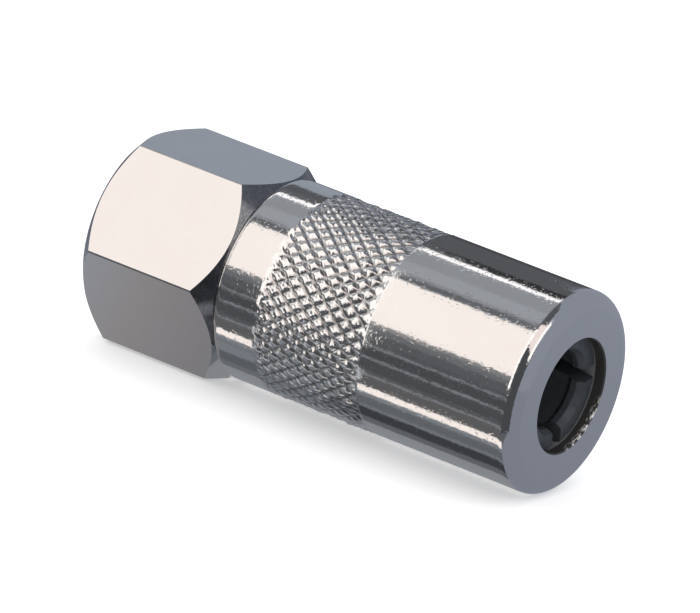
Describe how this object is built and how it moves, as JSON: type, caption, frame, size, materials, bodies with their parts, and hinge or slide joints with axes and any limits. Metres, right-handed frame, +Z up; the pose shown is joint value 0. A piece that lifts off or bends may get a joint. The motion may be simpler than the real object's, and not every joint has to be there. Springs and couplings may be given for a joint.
{
  "type": "grease coupler",
  "caption": "Hydraulic grease gun coupler: hex inlet for a pipe-threaded hose and a knurled sleeve whose jaws grip a grease fitting's head.",
  "frame": {"origin": "centre of the inlet mouth, in the hex's end face", "axes": "+X along the coupler's axis, from the threaded inlet to the nose; +Z up, square to the flat of the hex that faces straight down; +Y to the left when looking along +X"},
  "size_m": [0.0395, 0.018, 0.016],
  "materials": {
    "plated_steel": "polished nickel plate on steel",
    "jaw_steel": "hardened, dark",
    "piston_steel": "turned",
    "spring_steel": "drawn wire",
    "ball_steel": "ground",
    "seal_rubber": "moulded, matt"
  },
  "bodies": {
    "coupler_body": {"body": "plated_steel", "sleeve": "plated_steel", "stem_o_ring": "seal_rubber", "return_spring": "spring_steel"},
    "piston": {"piston": "piston_steel", "nipple_seal": "seal_rubber", "jaw_washer": "piston_steel", "jaw_spreader_ring": "spring_steel"},
    "check_ball": {"check_ball": "ball_steel", "check_spring": "spring_steel"},
    "jaw_1": {"jaw_1": "jaw_steel"},
    "jaw_2": {"jaw_2": "jaw_steel"},
    "jaw_3": {"jaw_3": "jaw_steel"},
    "jaw_4": {"jaw_4": "jaw_steel"}
  },
  "joints": [
    {"name": "piston_slide", "type": "slide", "parent": "coupler_body", "child": "piston", "axis": [-1, 0, 0], "range_m": [0, 0.0024], "stiffness_N_per_m": 5000, "springref_m": -0.001, "deforming": ["return_spring", "check_spring"]},
    {"name": "jaw_1_slide", "type": "slide", "parent": "coupler_body", "child": "jaw_1", "axis": [-0.9703, -0.2029, 0.1318], "range_m": [0, 0.0025]},
    {"name": "jaw_2_slide", "type": "slide", "parent": "coupler_body", "child": "jaw_2", "axis": [-0.9703, -0.1318, -0.2029], "range_m": [0, 0.0025]},
    {"name": "jaw_3_slide", "type": "slide", "parent": "coupler_body", "child": "jaw_3", "axis": [-0.9703, 0.2029, -0.1318], "range_m": [0, 0.0025]},
    {"name": "jaw_4_slide", "type": "slide", "parent": "coupler_body", "child": "jaw_4", "axis": [-0.9703, 0.1318, 0.2029], "range_m": [0, 0.0025]},
    {"name": "check_ball_lift", "type": "slide", "parent": "coupler_body", "child": "check_ball", "axis": [1, 0, 0], "range_m": [0, 0.001], "stiffness_N_per_m": 1000, "springref_m": -0.0005, "deforming": ["check_spring"]}
  ],
  "couplings": [
    {"joint": "jaw_1_slide", "follows": "piston_slide", "ratio": 1.0306},
    {"joint": "jaw_2_slide", "follows": "piston_slide", "ratio": 1.0306},
    {"joint": "jaw_3_slide", "follows": "piston_slide", "ratio": 1.0306},
    {"joint": "jaw_4_slide", "follows": "piston_slide", "ratio": 1.0306}
  ]
}
